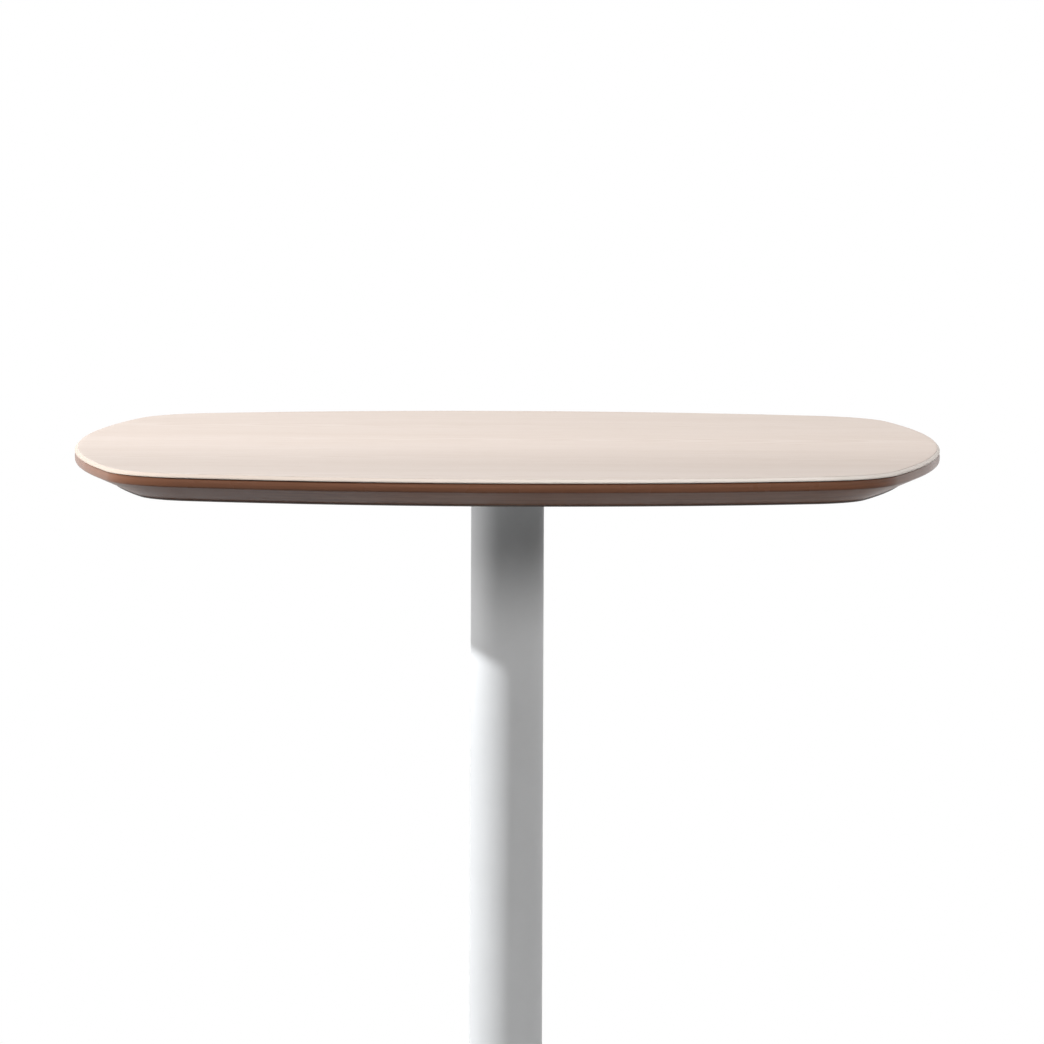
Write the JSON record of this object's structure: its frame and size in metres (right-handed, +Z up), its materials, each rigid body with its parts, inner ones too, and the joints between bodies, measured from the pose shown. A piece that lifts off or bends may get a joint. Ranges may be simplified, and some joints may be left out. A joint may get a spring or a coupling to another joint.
{
  "type": "standing meeting table",
  "caption": "Standing meeting table: square top with bowed sides and an undercut edge, on a round white column and a disc base with levelling feet.",
  "frame": {"origin": "on the floor, under the middle of the column", "axes": "+Z up along the column, +X to the right of the picture along the veneer's grain, +Y away from the camera"},
  "size_m": [0.9, 0.9, 1.05],
  "materials": {
    "veneer": "pale matt-lacquered wood veneer, grain along X",
    "edge_lacquer": "brown lacquered board edge, satin",
    "backing_laminate": "dark brown balancing laminate, matt",
    "powder_coat": "white satin powder coat on steel",
    "zinc_steel": "bright zinc-plated steel",
    "brass": "plain brass",
    "cast_iron": "cast iron, dark primer",
    "white_nylon": "white moulded nylon, satin",
    "black_nylon": "black moulded nylon, matt"
  },
  "bodies": {
    "table": {"top_veneer": "veneer", "top_core": "edge_lacquer", "top_backing": "backing_laminate", "mounting_plate": "powder_coat", "column_tube": "powder_coat", "base_dish": "powder_coat", "tie_rod": "zinc_steel", "upper_nut": "zinc_steel", "upper_washer": "zinc_steel", "lower_nut": "zinc_steel", "lower_washer": "zinc_steel", "column_plug": "zinc_steel", "foot_collar": "white_nylon", "ballast_ring": "cast_iron", "plate_screw_1": "zinc_steel", "plate_screw_2": "zinc_steel", "plate_screw_3": "zinc_steel", "plate_screw_4": "zinc_steel", "plate_screw_5": "zinc_steel", "plate_screw_6": "zinc_steel", "plate_screw_7": "zinc_steel", "plate_screw_8": "zinc_steel", "ballast_screw_1": "zinc_steel", "ballast_screw_2": "zinc_steel", "ballast_screw_3": "zinc_steel", "ballast_screw_4": "zinc_steel", "threaded_insert_1": "brass", "threaded_insert_2": "brass", "threaded_insert_3": "brass", "threaded_insert_4": "brass", "threaded_insert_5": "brass", "threaded_insert_6": "brass", "threaded_insert_7": "brass", "threaded_insert_8": "brass"},
    "pad_1": {"glide_pad_1": "black_nylon"},
    "stem_1": {"glide_stem_1": "zinc_steel"},
    "pad_2": {"glide_pad_2": "black_nylon"},
    "stem_2": {"glide_stem_2": "zinc_steel"},
    "pad_3": {"glide_pad_3": "black_nylon"},
    "stem_3": {"glide_stem_3": "zinc_steel"},
    "pad_4": {"glide_pad_4": "black_nylon"},
    "stem_4": {"glide_stem_4": "zinc_steel"}
  },
  "joints": [
    {"name": "glide_1_travel", "type": "slide", "parent": "table", "child": "pad_1", "axis": [0, 0, -1], "range_m": [0, 0.01]},
    {"name": "glide_1_turn", "type": "hinge", "parent": "pad_1", "child": "stem_1", "pos_m": [0.18526, 0.18526, 0.01], "axis": [0, 0, -1], "range_deg": [0, 2400]},
    {"name": "glide_2_travel", "type": "slide", "parent": "table", "child": "pad_2", "axis": [0, 0, -1], "range_m": [0, 0.01]},
    {"name": "glide_2_turn", "type": "hinge", "parent": "pad_2", "child": "stem_2", "pos_m": [-0.18526, 0.18526, 0.01], "axis": [0, 0, -1], "range_deg": [0, 2400]},
    {"name": "glide_3_travel", "type": "slide", "parent": "table", "child": "pad_3", "axis": [0, 0, -1], "range_m": [0, 0.01]},
    {"name": "glide_3_turn", "type": "hinge", "parent": "pad_3", "child": "stem_3", "pos_m": [-0.18526, -0.18526, 0.01], "axis": [0, 0, -1], "range_deg": [0, 2400]},
    {"name": "glide_4_travel", "type": "slide", "parent": "table", "child": "pad_4", "axis": [0, 0, -1], "range_m": [0, 0.01]},
    {"name": "glide_4_turn", "type": "hinge", "parent": "pad_4", "child": "stem_4", "pos_m": [0.18526, -0.18526, 0.01], "axis": [0, 0, -1], "range_deg": [0, 2400]}
  ],
  "couplings": [
    {"joint": "glide_1_turn", "follows": "glide_1_travel", "rad_per_m": 4188.8},
    {"joint": "glide_2_turn", "follows": "glide_2_travel", "rad_per_m": 4188.8},
    {"joint": "glide_3_turn", "follows": "glide_3_travel", "rad_per_m": 4188.8},
    {"joint": "glide_4_turn", "follows": "glide_4_travel", "rad_per_m": 4188.8}
  ]
}
